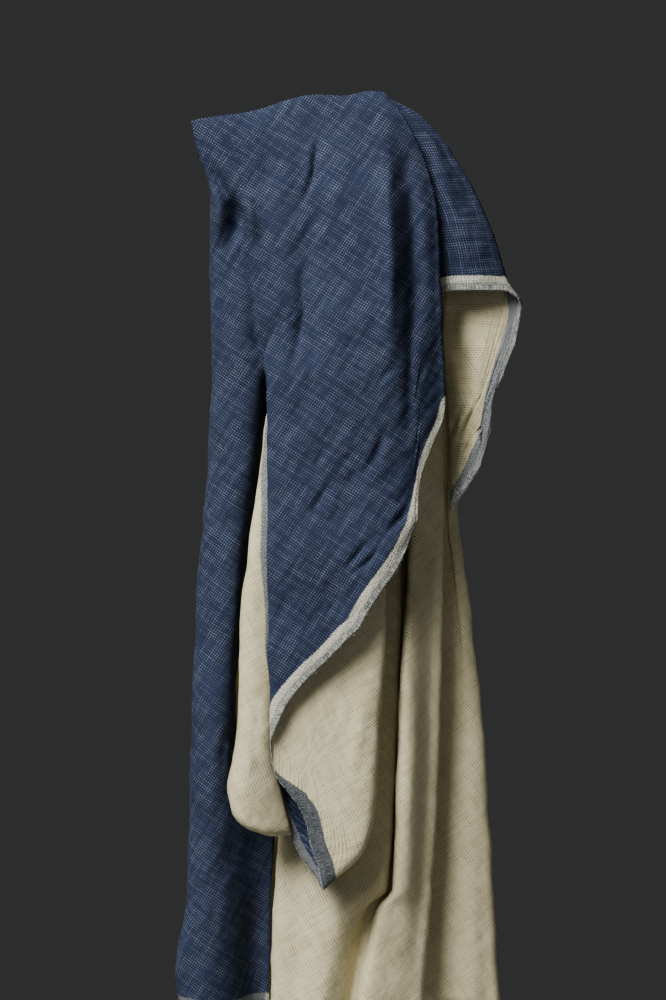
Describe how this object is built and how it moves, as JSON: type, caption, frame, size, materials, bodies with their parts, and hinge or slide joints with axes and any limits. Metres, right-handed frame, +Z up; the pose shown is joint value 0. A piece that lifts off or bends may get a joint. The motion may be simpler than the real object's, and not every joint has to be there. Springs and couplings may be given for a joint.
{
  "type": "double gauze linen fabric",
  "caption": "Length of double-faced double gauze linen, navy outside and natural inside, hung in loose folds from one point with its woven edge showing.",
  "frame": {"origin": "the hanging point, just under the middle of the ridge where the cloth is held", "axes": "+Z up along the fall of the cloth, -Y towards the front with the navy flap, +X to the right as seen from the front"},
  "size_m": [0.2775, 0.1244, 0.7385],
  "materials": {
    "double_gauze_linen": "matt woven linen, navy on one face and natural on the other"
  },
  "bodies": {
    "root": {"draped_cloth": "double_gauze_linen"}
  },
  "joints": []
}
